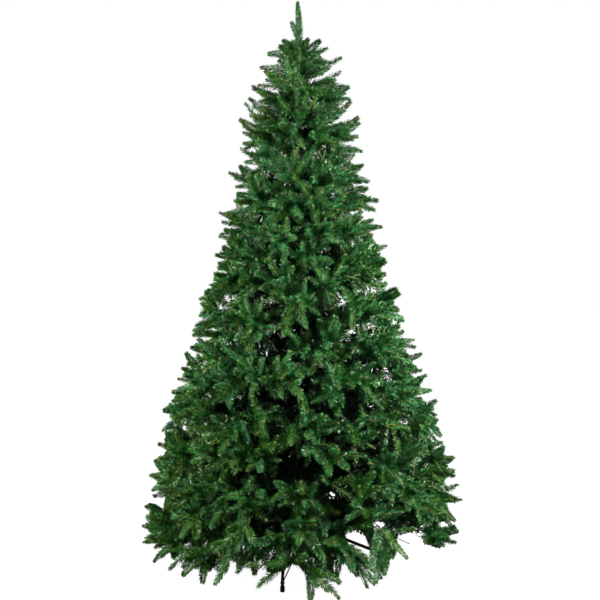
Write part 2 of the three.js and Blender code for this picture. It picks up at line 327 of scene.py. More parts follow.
class Grower:
    """Grows the crown from a seed: boughs in rings, side shoots on them, and shoots towards what is still bare."""

    def __init__(self, sizes):
        self.sizes = sizes
        self.rng = np.random.default_rng(sizes.seed)
        self.crown = Crown()
        self.taken = Points()
        self.places = Points()
        self.headings = Points()

    def between(self, low, high):
        return self.rng.uniform(low, high)

    def tip_length(self, height):
        """Tips are longer near the top and at the fringe."""
        sizes = self.sizes
        share = np.clip((height - 0.9) / 1.0, 0, 1) + np.clip((0.42 - height) / 0.12, 0, 1)
        mean = sizes.tip_length + share * (sizes.long_tip_length - sizes.tip_length)
        return mean * self.between(SHORTEST, LONGEST)

    def add_twig(self, start, direction, length, droop, *fan):
        """Adds a twig and the fan at its end, unless it would cross one of the crown's openings."""
        twig = Wire(start, direction, length, droop, TWIG_RADIUS, TWIG_END_RADIUS)
        if not crosses_opening([twig.at(along) for along in (0.0, 0.25, 0.5, 0.75, 1.0)], TWIG_ROOM):
            self.add_wire(self.crown.twigs, twig)
            self.fan(twig, *fan)

    def add_wire(self, wires, wire):
        """Keeps a wire, and the places along it from which shoots may leave."""
        wires.append(wire)
        steps = max(2, int(wire.length / 0.025))
        for along in (np.arange(steps) + 1) / steps:
            self.places.add(wire.at(along))
            self.headings.add(wire.heading(along))

    def add_tip(self, start, direction, length, gap=None):
        """Adds a tip where it has most room of several tries, cut short where it would leave the outline.

        None is added where all would close an opening, touch the floor or stand too near to other tips.
        """
        rng, sizes = self.rng, self.sizes
        gap = (gap or sizes.tip_gap) * (1 + SPARSER * np.clip((start[2] - SPARSER_FROM) / 0.4, 0, 1))
        width = sizes.tip_width * self.between(0.9, 1.1)
        sideways = (start[0] / max(1e-6, math.hypot(start[0], start[1]))) ** 2
        hang = sizes.hang * self.between(0, 1) * np.clip((sizes.hang_below - start[2]) / 0.3, 0, 1)
        hang *= 1 - 0.6 * sideways
        lowest = sizes.clearance + SIDE_CLEARANCE * sideways
        lowest += RIGHT_CLEARANCE * np.clip((start[0] - 0.25) / 0.2, 0, 1)
        outward = unit(np.array([start[0], start[1], rise(start[2]) * math.hypot(start[0], start[1])]) + 1e-9)
        direction = unit(direction) + sizes.outward * outward - UP * hang
        best, most = None, 0.55 * gap
        for attempt in range(TRIES):
            heading = unit(unit(direction) + rng.normal(0, 0.10 * attempt, 3))
            room = room_along(start, heading, self.between(0.94, 1.05))
            if room < LEAST_ROOM * length:
                continue
            reached = min(length, max(room, 0.75 * length)) * (1 - 0.04 * attempt)
            bend = rng.normal(0, 0.06, 3) + UP * self.between(-0.14, 0.06)
            bend -= heading * (bend @ heading)
            tip = Tip(start, heading, bend, reached, width, rng.normal(0, 0.6))
            if not lowest < tip.end[2] < sizes.highest_tip:
                continue
            if crosses_opening([tip.at(along) for along in (0.1, 0.3, 0.5, 0.7, 0.9, 1.05)], width):
                continue
            clear = self.taken.nearest(tip.middle)
            if clear > most:
                best, most = tip, clear
            if clear > gap:
                break
        if best:
            self.crown.tips.append(best)
            self.taken.add(best.middle)

    def fan(self, wire, count, spread, scale=1.0):
        """A tip that carries on from the wire's end, and others round it."""
        rng = self.rng
        heading = wire.heading(1.0)
        self.add_tip(wire.at(1.0), heading + rng.normal(0, 0.08, 3), self.tip_length(wire.start[2]) * scale)
        first = self.between(0, 2 * math.pi)
        for i in range(count - 1):
            around = first + 2 * math.pi * i / (count - 1) + rng.normal(0, 0.3)
            direction = leaning(heading, around, spread * self.between(0.75, 1.25), 0.85)
            back = min(1.0, self.between(0.0, 0.045) / wire.length)
            self.add_tip(wire.at(1.0 - back), direction, self.tip_length(wire.start[2]) * scale * 0.95)

    def bough(self, root, azimuth):
        """A bough, with a fan of tips at its end and shoots on both sides."""
        rng, sizes = self.rng, self.sizes
        slope = max(float(rise(root)), sizes.steepest_droop) + rng.normal(0, 0.07)
        outward = np.array([math.cos(azimuth), math.sin(azimuth), 0.0])
        direction = unit(outward + UP * slope)
        start = outward * (pole_radius(root) + 0.003) + UP * root
        ends = float(reach(root)) * fullness(outward[0], outward[1], root + 0.3 * slope) * self.between(0.95, 1.05)
        total = max(0.10, (ends - pole_radius(root)) / (direction @ outward))
        wanted = self.tip_length(root)
        last = min(total * 0.85, wanted)
        thickness = BOUGH_RADIUS + BOUGH_EXTRA * min(1.0, wanted / MOST_REACH)
        wire = Wire(start, direction, total - last, self.between(-0.02, 0.05), thickness, BOUGH_END_RADIUS)
        self.add_wire(self.crown.boughs, wire)
        self.fan(wire, *((7, sizes.spread) if total > 0.3 else (4, 0.7 * sizes.spread)), last / wanted)
        side = 1 if rng.random() < 0.5 else -1
        along = wire.length - self.between(0.03, 0.06)
        while along > sizes.bare_wire:
            self.shoot(wire, along, side, total)
            side = -side
            along -= sizes.shoot_spacing * self.between(0.8, 1.2)

    def fill(self, wire):
        """Tips that leave the inner part of a bough in all directions and darken the crown's inside, by their own
        shadows and, deep inside, by the painted shade of their tone.
        """
        along = self.between(0.004, 0.02)
        while along < min(wire.length, self.sizes.filled_to * wire.length + 0.02):
            around, polar = self.between(0, 2 * math.pi), self.between(0.5, 1.2)
            direction = leaning(wire.heading(along / wire.length), around, polar)
            start = wire.at(along / wire.length)
            if start[2] + direction[2] * 0.12 > self.sizes.filled_above:
                self.add_tip(start, direction, self.tip_length(start[2]), self.sizes.fill_gap)
            along += self.sizes.fill_spacing * self.between(0.8, 1.2)

    def shoot(self, wire, along, side, total):
        """A side twig with its own fan where there is room for one, or else a single tip."""
        sizes = self.sizes
        place = along / wire.length
        heading = wire.heading(place)
        across = unit(np.cross(heading, UP)) * side
        over = np.cross(heading, across) * side
        yaw = math.radians(self.between(36, 56))
        lift = self.rng.normal(0.05, 0.38)
        direction = unit(heading * math.cos(yaw) + across * math.sin(yaw) + over * lift)
        start = wire.at(place)
        room = room_along(start, direction, self.between(0.92, 1.02))
        wanted = self.tip_length(start[2])
        if room < 0.06:
            return
        if room > wanted + 0.04 and along > sizes.fans_from * total:
            length = min(room - wanted, self.between(0.04, 0.12))
            self.add_twig(start, direction, length, self.between(0.0, 0.15), 4, 0.9 * sizes.spread)
        else:
            self.add_tip(start, direction, wanted)

    def bare_places(self, shallowest, deepest, spacing):
        """Random places between two depths below the crown's surface, evenly over the crown."""
        tries = int(self.sizes.bare_tries / spacing**2)
        heights = self.rng.uniform(OUTLINE_HEIGHTS[0] - 0.02, self.sizes.bare_top, tries)
        radii = np.interp(heights, OUTLINE_HEIGHTS, OUTLINE_RADII) * np.interp(heights, *zip(*FULLNESS))
        # Lower places are likelier, as the crown is wider there.
        kept = self.rng.random(tries) < radii / MOST_REACH
        heights, radii = heights[kept], radii[kept] - self.rng.uniform(shallowest, deepest, kept.sum())
        heights, radii = heights[radii > 0.04], radii[radii > 0.04]
        turns = self.rng.uniform(0, 2 * math.pi, len(radii))
        return np.stack([radii * np.cos(turns), radii * np.sin(turns), heights], -1)

    def grow_towards(self, targets, spacing, lowest):
        """Grows a tip, or a twig with a few, to each target above the lowest that no tip has come near."""
        for target in targets:
            if self.taken.nearest(target) < spacing or target[2] < lowest:
                continue
            away, distance = self.places.away(target)
            ahead = np.sum(away * self.headings.known, axis=1) / distance
            leaving = away @ unit(target * [1, 1, 0]) / distance
            cost = distance + BACKWARD_COST * (ahead < 0.1) + INWARD_COST * (leaving < 0.05)
            cost += CLOSE_COST * (distance < 0.05)
            best = int(np.argmin(cost))
            if cost[best] > MOST_COST:
                continue
            start, direction = self.places.known[best], away[best] / distance[best]
            length = self.tip_length(start[2])
            if distance[best] > 0.7 * length + 0.04:
                self.add_twig(start, direction, distance[best] - 0.7 * length, self.between(0.0, 0.1), 3, 0.7)
            else:
                self.add_tip(start.copy(), direction, length)

    def grow(self):
        rng, sizes = self.rng, self.sizes
        root, turn = LOWEST_ROOT + 0.005, 0.4
        while root < HIGHEST_ROOT - 0.030:
            self.crown.rings.append(root)
            count = round(sizes.fewest_boughs + sizes.boughs_per_metre * float(reach(root)))
            count += EXTRA_BOUGHS * (root < EXTRA_BELOW)
            turn += math.pi / count + self.between(-0.15, 0.15)
            for i in range(count):
                azimuth = turn + 2 * math.pi * (i + rng.normal(0, 0.10)) / count
                self.bough(min(HIGHEST_ROOT, root + rng.normal(0, 0.012)), azimuth)
            share = (root - LOWEST_ROOT) / (HIGHEST_ROOT - LOWEST_ROOT)
            root += sizes.low_ring_spacing + share * (sizes.high_ring_spacing - sizes.low_ring_spacing)
        outer, inner, shaded, filled = sizes.outer_spacing, sizes.inner_spacing, sizes.deep_spacing, sizes.filled_above
        self.grow_towards(self.bare_places(0.02, 0.05, outer), outer, sizes.fringe_above)
        self.grow_towards(self.bare_places(0.10, 0.17, inner), inner, filled)
        for wire in self.crown.boughs:
            self.fill(wire)
        self.grow_towards(self.bare_places(0.20, 0.50, shaded), shaded, filled)
        self.fringe()
        self.leader()
        self.deal_out()
        return self.crown

    def fringe(self):
        """Tips that hang in front of one of the stand's feet, each from a wire at a tip's length from its end."""
        sag = UP * -0.05
        for end in FRINGE:
            away, distance = self.places.away(np.array(end))
            best = int(np.argmin(np.abs(distance - FRINGE_LENGTH) + np.hypot(away[:, 0], away[:, 1])))
            heading = unit(away[best] / distance[best] - sag)
            start, length = self.places.known[best].copy(), distance[best]
            self.crown.tips.append(Tip(start, heading, sag, length, self.sizes.tip_width, 0.3))

    def leader(self):
        """The upright tip at the very top, and the small one that leans beside it."""
        foot = UP * (LEADER_FOOT - 0.02)
        tall, upright, flat = TREE_HEIGHT - foot[2] - 0.002, unit(UP - [0.05, 0, 0]), math.pi / 2
        lean = np.array([-0.01, 0, 0])
        # The brush is wound double towards its end.
        double_foot = foot + LEADER_DOUBLE_FROM * upright
        self.crown.tips += [
            Tip(foot, upright, lean, tall, LEADER_WIDTH, flat),
            Tip(double_foot, upright, 0.9 * lean, tall - LEADER_DOUBLE_FROM - 0.002, LEADER_INNER_WIDTH, 0.3),
            Tip(foot + UP * 0.006, unit(UP - [0.42, 0.1, 0]), 2 * lean, BESIDE_LENGTH, BESIDE_WIDTH, flat),
        ]

    def deal_out(self):
        """Gives every tip its tier and its tone of green: painted shade for the tips deep inside, and elsewhere a
        random tone with a painted bias of light by place.
        """
        for tip in self.crown.tips:
            x, y, z = tip.end
            inside = surface(x, y, z) - math.hypot(x, y)
            tip.tier = next(i for i, (_, top) in enumerate(TIERS) if tip.start[2] < top)
            # Tones differ at random, but the yellow, leafy share grows towards the bottom and the left, and the
            # bluish share grows towards the top and the right. That bias is painted light: a bluish sheen where the
            # light falls strongest.
            yellow = 0.05 + 0.40 * np.clip((1.0 - z) / 0.9, 0, 1) - 0.35 * x
            pick = self.rng.random()
            tip.grade = int(inside > self.sizes.half_inside and z > 0.3)
            # Tips deep inside take the tone of painted shade, dark where shade falls, and get fewer, wider needles.
            if inside > self.sizes.deep_inside and z > 0.2:
                tip.tone, tip.grade = TONES.index("shaded"), 2
                tip.width *= self.sizes.deep_scale
            else:
                tip.tone = TONES.index("leafy" if pick < yellow else "fresh" if pick < yellow + 0.35 else "bluish")


_grown = {}


def crown():
    """The grown crown, which every operator that builds on it shares."""
    sizes = bpy.context.scene.spruce_crown
    key = tuple(getattr(sizes, name) for name in CrownSizes.__annotations__)
    if key not in _grown:
        _grown.clear()
        _grown[key] = Grower(sizes).grow()
    return _grown[key]


# ---- Meshes from arrays ----


def mesh_object(name, points, faces, smooth=False):
    """A mesh object from an array of points and an array of triangles or quads."""
    points = np.ascontiguousarray(points, np.float32).reshape(-1, 3)
    faces = np.ascontiguousarray(faces, np.int32)
    count, sides = faces.shape
    mesh = bpy.data.meshes.new(name)
    mesh.vertices.add(len(points))
    mesh.vertices.foreach_set("co", points.ravel())
    mesh.loops.add(count * sides)
    mesh.loops.foreach_set("vertex_index", faces.ravel())
    mesh.polygons.add(count)
    mesh.polygons.foreach_set("loop_start", np.arange(0, count * sides, sides, dtype=np.int32))
    mesh.polygons.foreach_set("use_smooth", np.full(count, smooth))
    mesh.update(calc_edges=True)
    mesh.validate()
    obj = bpy.data.objects.new(name, mesh)
    bpy.context.scene.collection.objects.link(obj)
    return obj


def frames_along(directions, rolls):
    """Side and top vectors for headings, with the top as near to up as it goes, then rolled."""
    side = np.cross(directions, UP)
    length = np.linalg.norm(side, axis=-1, keepdims=True)
    side = np.where(length > 1e-4, side / np.maximum(length, 1e-4), np.array([1.0, 0, 0]))
    top = np.cross(side, directions)
    cos, sin = np.cos(rolls)[..., None], np.sin(rolls)[..., None]
    return side * cos + top * sin, top * cos - side * sin


def tube(points, radii, sides, lobes=0.0, twist=0.0, closed=True, overhang=0.0):
    """A tube through points, as rings of corners and quads.

    Lobes and twist make it two twisted strands, and the caps of a closed one may overhang to a point.
    """
    points = np.asarray(points)
    headings = np.gradient(points, axis=0)
    headings /= np.linalg.norm(headings, axis=1, keepdims=True)
    side, top = frames_along(headings, np.zeros(len(points)))
    turns = 2 * np.pi * np.arange(sides) / sides
    gone = np.concatenate([[0], np.cumsum(np.linalg.norm(np.diff(points, axis=0), axis=1))])
    size = radii[:, None] * (1 + lobes * np.cos(2 * (turns[None] - twist * gone[:, None])))
    ring = (
        points[:, None]
        + side[:, None] * (size * np.cos(turns))[..., None]
        + top[:, None] * (size * np.sin(turns))[..., None]
    )
    corners = ring.reshape(-1, 3)
    i, j = np.meshgrid(np.arange(len(points) - 1), np.arange(sides), indexing="ij")
    a, b = i * sides + j, i * sides + (j + 1) % sides
    faces = np.stack([a, b, b + sides, a + sides], -1).reshape(-1, 4)
    if closed:
        ends = len(corners) + np.arange(2)
        peaks = points[[0, -1]] + headings[[0, -1]] * overhang * np.array([[-1], [1]])
        corners = np.concatenate([corners, peaks])
        turn = np.arange(sides)
        after, last = (turn + 1) % sides, (len(points) - 1) * sides
        caps = [(after, turn, ends[0]), (last + turn, last + after, ends[1])]
        caps = [np.stack([a, b, np.full(sides, peak), np.full(sides, peak)], -1) for a, b, peak in caps]
        faces = np.concatenate([faces, *caps])
    return corners, faces


def triangles(faces):
    """Quads as triangles, leaving out the empty halves of quads that repeat a corner."""
    both = np.concatenate([faces[:, [0, 1, 2]], faces[:, [0, 2, 3]]])
    whole = (both[:, 0] != both[:, 1]) & (both[:, 1] != both[:, 2]) & (both[:, 2] != both[:, 0])
    return both[whole]


def joined(parts):
    """One list of points and triangles from many."""
    points, faces, count = [], [], 0
    for part_points, part_faces in parts:
        points.append(part_points)
        faces.append(triangles(part_faces) + count)
        count += len(part_points)
    return np.concatenate(points), np.concatenate(faces)


# ---- Brushes of needles ----


def needle_brush(rng, count, width, sizes):
    """One pattern of needles round a tip.

    It returns where along the tip each needle starts, from 0 to 1, and the four corners of each needle in
    metres from there: across, over and ahead. A needle is a folded kite: foot, two shoulders and point.
    """
    along = (np.arange(count) + rng.uniform(0.2, 0.8, count)) / count * 0.985
    around = np.arange(count) * GOLDEN_ANGLE + rng.normal(0, 0.15, count)
    # More needles leave at a tip's sides than over and under it, so its wire shows.
    around = around - 0.34 * np.sin(2 * around)
    lean = np.radians(57 - 32 * along**3) + rng.normal(0, 0.07, count)
    taper = np.clip(0.72 + 2.5 * along, 0, 1) * (1 - 0.42 * along**5)
    length = sizes.needle_length * taper * rng.uniform(0.90, 1.08, count)
    out = np.stack([np.cos(around), np.sin(around), np.zeros(count)], -1)
    ahead = np.array([0.0, 0.0, 1.0])
    heading = out * np.sin(lean)[:, None] + ahead * np.cos(lean)[:, None]
    broad = np.cross(heading, out)
    broad /= np.linalg.norm(broad, axis=1, keepdims=True)
    face = np.cross(broad, heading)
    twist = (np.pi / 2 + rng.normal(0, 0.5, count))[:, None] * (np.abs(np.cos(around)) > 0.6)[:, None]
    twist = twist + rng.normal(0, 0.3, count)[:, None]
    broad, face = broad * np.cos(twist) + face * np.sin(twist), face * np.cos(twist) - broad * np.sin(twist)
    foot = out * 0.0010
    shoulder = foot + heading * (length * 0.55)[:, None] + face * (width * 0.18)
    half = broad * (width / 2)
    curl = face * (length * rng.normal(0.0, 0.05, count))[:, None]
    point = foot + heading * length[:, None] + curl
    return along, np.stack([foot, shoulder + half, point, shoulder - half], 1)


def brush_points(tips, along, corners):
    """The corners of a brush's needles on each of the tips."""
    names = ("start", "direction", "bend", "length", "width", "roll")
    start, ahead, bend, length, width, roll = (np.array([getattr(t, name) for t in tips])[:, None] for name in names)
    place = along[None, :, None]
    centre = start + length[..., None] * (place * ahead + place**2 * bend)
    heading = ahead + 2 * place * bend
    heading /= np.linalg.norm(heading, axis=-1, keepdims=True)
    side, top = frames_along(heading, np.broadcast_to(roll, heading.shape[:2]))
    scaled = corners[None] * (width[..., None, None] / bpy.context.scene.spruce_crown.tip_width)
    return (
        centre[:, :, None]
        + side[:, :, None] * scaled[..., 0:1]
        + top[:, :, None] * scaled[..., 1:2]
        + heading[:, :, None] * scaled[..., 2:3]
    )


# ---- Node groups and materials ----


def feed(tree, node, inputs):
    """Links each named input of a node to the output given for it, or else sets it to the value given."""
    for name, value in inputs.items():
        if isinstance(value, bpy.types.NodeSocket):
            tree.links.new(value, node.inputs[name])
        else:
            node.inputs[name].default_value = value
    return node


def add_node(tree, kind, inputs=None, **settings):
    """A node with its settings and its inputs."""
    node = tree.nodes.new(kind)
    for name, value in settings.items():
        setattr(node, name, value)
    return feed(tree, node, inputs or {})


def mixed(tree, factor, first, second, kind="RGBA"):
    """The output of a mix of two colours, or of two values."""
    # The node keeps a pair of inputs and an output for each kind, under the same names.
    a, b, out = (6, 7, 2) if kind == "RGBA" else (2, 3, 0)
    return add_node(tree, "ShaderNodeMix", {"Factor": factor, a: first, b: second}, data_type=kind).outputs[out]


def noise_factor(tree, scale, detail=2.0):
    """A noise over the object's own coordinates."""
    place = add_node(tree, "ShaderNodeTexCoord").outputs["Object"]
    noise = add_node(tree, "ShaderNodeTexNoise", {"Vector": place, "Scale": scale, "Detail": detail})
    return noise.outputs["Fac"]


def node_group(name, inputs, outputs):
    """A shader node group with an input for each default given. An output named Color is a colour."""
    group = bpy.data.node_groups.new(name, "ShaderNodeTree")
    for label, default in inputs.items():
        kind = "NodeSocketColor" if isinstance(default, tuple) else "NodeSocketFloat"
        group.interface.new_socket(label, in_out="INPUT", socket_type=kind).default_value = default
    for label in outputs:
        kind = "NodeSocketColor" if label == "Color" else "NodeSocketFloat"
        group.interface.new_socket(label, in_out="OUTPUT", socket_type=kind)
    return group, group.nodes.new("NodeGroupInput").outputs, group.nodes.new("NodeGroupOutput")


def mottle_group():
    """Lighter and darker patches: colour, roughness and height that wander over a surface."""
    if "mottle" in bpy.data.node_groups:
        return bpy.data.node_groups["mottle"]
    inputs = {"Dark": (0, 0, 0, 1), "Light": (1, 1, 1, 1), "Scale": 50.0, "Smooth": 0.3, "Rough": 0.6}
    group, given, out = node_group("mottle", inputs, ("Color", "Roughness", "Height"))
    noise = noise_factor(group, given["Scale"], 3)
    spread = add_node(group, "ShaderNodeMapRange", {"Value": noise, "From Min": 0.3, "From Max": 0.7})
    share = spread.outputs["Result"]
    colour = mixed(group, share, given["Dark"], given["Light"])
    rough = mixed(group, share, given["Smooth"], given["Rough"], "FLOAT")
    feed(group, out, {"Color": colour, "Roughness": rough, "Height": noise})
    return group


def needle_shade_group():
    """Film cut from different sheets: each needle has its own shade at random, and patches wander; a few needles are
    painted pale, as painted glints of light on the film.
    """
    if "needle_shade" in bpy.data.node_groups:
        return bpy.data.node_groups["needle_shade"]
    inputs = {"Dark": (0, 0, 0, 1), "Light": (1, 1, 1, 1), "Painted Glint": (1, 1, 1, 1)}
    group, given, out = node_group("needle_shade", inputs, ("Color", "Roughness"))
    own = add_node(group, "ShaderNodeNewGeometry").outputs["Random Per Island"]
    both = mixed(group, 0.35, own, noise_factor(group, 40), "FLOAT")
    shade = mixed(group, both, given["Dark"], given["Light"])
    # A tenth of the needles, picked at random, take the pale colour: a painted highlight.
    painted_glints = add_node(group, "ShaderNodeMath", {0: own, 1: 0.90}, operation="GREATER_THAN").outputs[0]
    rough = add_node(group, "ShaderNodeMapRange", {"Value": both, "To Min": 0.24, "To Max": 0.44})
    colour = mixed(group, painted_glints, shade, given["Painted Glint"])
    feed(group, out, {"Color": colour, "Roughness": rough.outputs["Result"]})
    return group


def grouped_material(name, group, inputs, **constants):
    """A Principled material that takes its colour and roughness from a node group."""
    material = bpy.data.materials.new(name)
    material.use_nodes = True
    tree = material.node_tree
    look = add_node(tree, "ShaderNodeGroup", inputs, node_tree=group)
    shader = tree.nodes["Principled BSDF"]
    feed(tree, shader, {"Base Color": look.outputs["Color"], "Roughness": look.outputs["Roughness"], **constants})
    return material, look, shader


def mottled(name, dark, light, scale, smooth, rough, bump):
    """A material of darker and lighter patches, each with its roughness, and with relief if bump is not 0."""
    if name in bpy.data.materials:
        return bpy.data.materials[name]
    inputs = {"Dark": (*dark, 1), "Light": (*light, 1), "Scale": scale, "Smooth": smooth, "Rough": rough}
    material, look, shader = grouped_material(name, mottle_group(), inputs)
    if bump:
        tree = material.node_tree
        heights = {"Height": look.outputs["Height"], "Strength": bump, "Distance": 0.001}
        feed(tree, shader, {"Normal": add_node(tree, "ShaderNodeBump", heights).outputs["Normal"]})
    return material


# The dark and the light colour, the scale of the patches, the roughness of each, and the relief.
SURFACES = {
    "wrapped_wire": ((0.006, 0.008, 0.004), (0.03, 0.022, 0.012), 220, 0.45, 0.8, 0.5),
    "pole_enamel": ((0.006, 0.014, 0.008), (0.014, 0.028, 0.016), 90, 0.28, 0.45, 0.12),
    "stand_enamel": ((0.006, 0.006, 0.007), (0.014, 0.014, 0.015), 120, 0.25, 0.42, 0.15),
    "black_plastic": ((0.008, 0.008, 0.008), (0.018, 0.018, 0.018), 500, 0.5, 0.7, 0.3),
    "pale_floor": ((0.34, 0.34, 0.34), (0.36, 0.36, 0.36), 1.5, 0.7, 0.9, 0.0),
}


def surface_material(name):
    return mottled(name, *SURFACES[name])


def needle_material(tone):
    """Glossy green plastic film in one of the crown's tones."""
    name = f"needles_{tone}"
    if name in bpy.data.materials:
        return bpy.data.materials[name]
    colour = np.array(getattr(bpy.context.scene.spruce_colours, tone))
    light = colour * 1.7
    # The pale colour is a painted glint, lighter than the lightest needles; the tips in painted shade get none beyond
    # their light colour.
    shades = {"Dark": colour * 0.33, "Light": light, "Painted Glint": light + (0.0 if tone == "shaded" else 0.08)}
    inputs = {label: (*shade, 1) for label, shade in shades.items()}
    return grouped_material(name, needle_shade_group(), inputs, **{"Specular IOR Level": 0.55})[0]


def core_material():
    colour = np.array(bpy.context.scene.spruce_colours.core)
    return mottled("tip_core_wire", colour * 0.7, colour * 1.2, 400, 0.5, 0.75, 0.3)


def bud_material():
    colour = np.array(bpy.context.scene.spruce_colours.bud)
    return mottled("tip_bud_plastic", colour * 0.8, colour * 1.15, 300, 0.45, 0.65, 0.0)


def floor_material(lift):
    """White to the eye, with light shadows, and dark to the tree, so that no light comes from below."""
    material = surface_material("pale_floor")
    tree = material.node_tree
    shader = tree.nodes["Principled BSDF"]
    seen = add_node(tree, "ShaderNodeLightPath").outputs["Is Camera Ray"]
    colour = mixed(tree, seen, (0.08, 0.08, 0.08, 1), shader.inputs["Base Color"].links[0].from_socket)
    shine = add_node(tree, "ShaderNodeMath", {0: seen, 1: lift}, operation="MULTIPLY").outputs[0]
    feed(tree, shader, {"Base Color": colour, "Emission Strength": shine, "Emission Color": (1, 1, 1, 1)})
    return material


def finish_piece(obj, slot, material, *nodes):
    """Gives a piece its material and its place in the frame."""
    obj.data.materials.clear()
    obj.data.materials.append(material)
    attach(obj, "root")
    if nodes:
        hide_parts(*nodes)
    return obj


def nodes_named(start):
    return [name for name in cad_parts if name.startswith(start)]


# ---- Properties ----


def number(name, description, default, **more):
    return FloatProperty(name=name, description=description, default=default, **more)


def metres(name, description, default):
    return number(name, description, default, unit="LENGTH")


def needle_count(name, description, default):
    return IntProperty(name=name, description=description, default=default, min=8)


def tint(name, description, default):
    return FloatVectorProperty(
        name=name, description=description, default=default, subtype="COLOR", size=3, min=0, max=1
    )


class CrownSizes(PropertyGroup):
    seed: IntProperty(name="Seed", description="Another seed grows another crown", default=7)
    low_ring_spacing: metres("Low ring spacing", "Between rings of boughs at the bottom", 0.135)
    high_ring_spacing: metres("High ring spacing", "Between rings of boughs at the top", 0.074)
    fewest_boughs: number("Fewest boughs", "Boughs in a ring of no reach", 4.4)
    boughs_per_metre: number("Boughs per metre", "Boughs that a ring gains for each metre of reach", 8.0)
    shoot_spacing: metres("Shoot spacing", "Between shoots along a bough", 0.050)
    bare_wire: metres("Bare wire", "Length of bough without shoots, next to the pole", 0.04)
    fans_from: number("Fans from", "Share of a bough's length beyond which its shoots branch", 0.36)
    steepest_droop: number("Steepest droop", "Slope of the lowest boughs' wires", -0.15)
    spread: number("Spread", "Angle between a bough and the tips round its end", 1.0, subtype="ANGLE")
    outward: number("Outward", "How far tips turn away from the pole", 0.35)
    tip_gap: metres("Tip gap", "Least room between tips, where there is room enough", 0.048)
    fill_gap: metres("Fill gap", "Least room between tips near the pole", 0.046)
    outer_spacing: metres("Outer spacing", "Room on the outline that calls for another tip", 0.055)
    inner_spacing: metres("Inner spacing", "Room inside that calls for another tip", 0.066)
    deep_spacing: metres("Deep spacing", "Room near the pole that calls for another tip", 0.055)
    bare_top: metres("Bare top", "Height above which bare places stay bare", 2.05)
    bare_tries: number("Tries", "How thoroughly bare places are looked for", 20.0)
    filled_above: metres("Filled above", "Height below which the inside stays bare", 0.14)
    highest_tip: metres("Highest tip", "Height that no tip but the leader passes", 2.285)
    fringe_above: metres("Fringe above", "Height below which the fringe stays as it grew", 0.115)
    clearance: metres("Clearance", "Height of the lowest tips above the floor", 0.066)
    fill_spacing: metres("Fill spacing", "Between the inner tips along a bough", 0.027)
    filled_to: number("Filled to", "Share of a bough's wire that carries inner tips", 0.7)
    hang: number("Hang", "How far the lowest tips may turn down", 1.7)
    hang_below: metres("Hang below", "Height below which tips hang", 0.50)
    half_inside: metres("Half inside", "Depth below which tips have fewer needles", 0.065)
    deep_scale: number("Deep scale", "Width of the tips deep inside, as a multiple of the others'", 1.4)
    deep_inside: metres("Deep inside", "Depth below which tips are dark and sparse", 0.15)
    tip_length: metres("Tip length", "Mean length", 0.104)
    long_tip_length: metres("Long tip length", "Mean length near the top and at the fringe", 0.140)
    tip_width: metres("Tip width", "Across the needles", 0.045)
    needles_per_tip: needle_count("Needles", "Needles on each tip", 164)
    needles_half_inside: needle_count("Needles half inside", "Needles on a tip behind the outer ones", 60)
    needles_inside: needle_count("Needles inside", "Needles on a tip deep inside", 38)
    needle_length: metres("Needle length", "Longest", 0.0245)
    needle_width: metres("Needle width", "Widest", 0.0047)
    inner_needle_width: metres("Inner needle width", "Widest deep inside", 0.0076)


class Colours(PropertyGroup):
    bluish: tint("Bluish", "Needles with a blue cast", (0.040, 0.200, 0.052))
    fresh: tint("Fresh", "Needles of plain green", (0.045, 0.205, 0.037))
    leafy: tint("Leafy", "Needles with a yellow cast", (0.055, 0.195, 0.025))
    # Painted shade: this near-black green of the tips deep inside the crown stands in for the shade there.
    shaded: tint("Deep", "Dark needles inside", (0.006, 0.028, 0.006))
    core: tint("Core", "Wire in the middle of a tip", (0.36, 0.25, 0.06))
    bud: tint("Bud", "Point at the end of a tip", (0.50, 0.38, 0.16))


class StageSettings(PropertyGroup):
    floor_size: metres("Floor size", "Side of the floor", 60)
    backdrop: number("Backdrop", "Brightness of the backdrop", 1.0)
    floor_lift: number("Floor lift", "Light that the floor itself gives", 0.96)
    sky: number("Sky", "Strength of the light from all round", 0.05)
    key: number("Key light", "Strength of the light from afar", 0.15)
    right_panel: number("Right panel", "Power of the light on the right", 60)
    left_panel: number("Left panel", "Power of the light on the left", 36)
    fill: number("Fill light", "Strength of the light from the left", 0.2)
    back: number("Back light", "Strength of the light from behind", 0.9)


# ---- Modelling steps that several operators share ----


def select(*objects):
    """Selects these objects and nothing else, and makes the first of them active."""
    bpy.ops.object.select_all(action="DESELECT")
    for obj in objects:
        obj.select_set(True)
    if objects:
        bpy.context.view_layer.objects.active = objects[0]


def apply_transform():
    bpy.ops.object.transform_apply(location=True, rotation=True, scale=True)


def smooth_below(degrees):
    bpy.ops.object.shade_smooth_by_angle(angle=math.radians(degrees))


def turned_profile(name, profile, steps):
    """A turned solid: the profile's edge, drawn in edit mode, is spun about the vertical axis."""
    mesh = bpy.data.meshes.new(name)
    points = [(radius, 0, height) for radius, height in profile]
    mesh.from_pydata(points, [(i, i + 1) for i in range(len(points) - 1)], [])
    obj = bpy.data.objects.new(name, mesh)
    bpy.context.scene.collection.objects.link(obj)
    select(obj)
    bpy.ops.object.mode_set(mode="EDIT")
    bpy.ops.mesh.select_all(action="SELECT")
    bpy.ops.mesh.spin(steps=steps, angle=2 * math.pi, center=(0, 0, 0), axis=(0, 0, 1))
    bpy.ops.mesh.select_all(action="SELECT")
    bpy.ops.mesh.remove_doubles(threshold=1e-6)
    bpy.ops.mesh.normals_make_consistent(inside=False)
    bpy.ops.object.mode_set(mode="OBJECT")
    smooth_below(35)
    return obj


def joined_objects(name, objects):
    """Several objects joined into one."""
    select(*objects)
    bpy.ops.object.join()
    objects[0].name = name
    return objects[0]


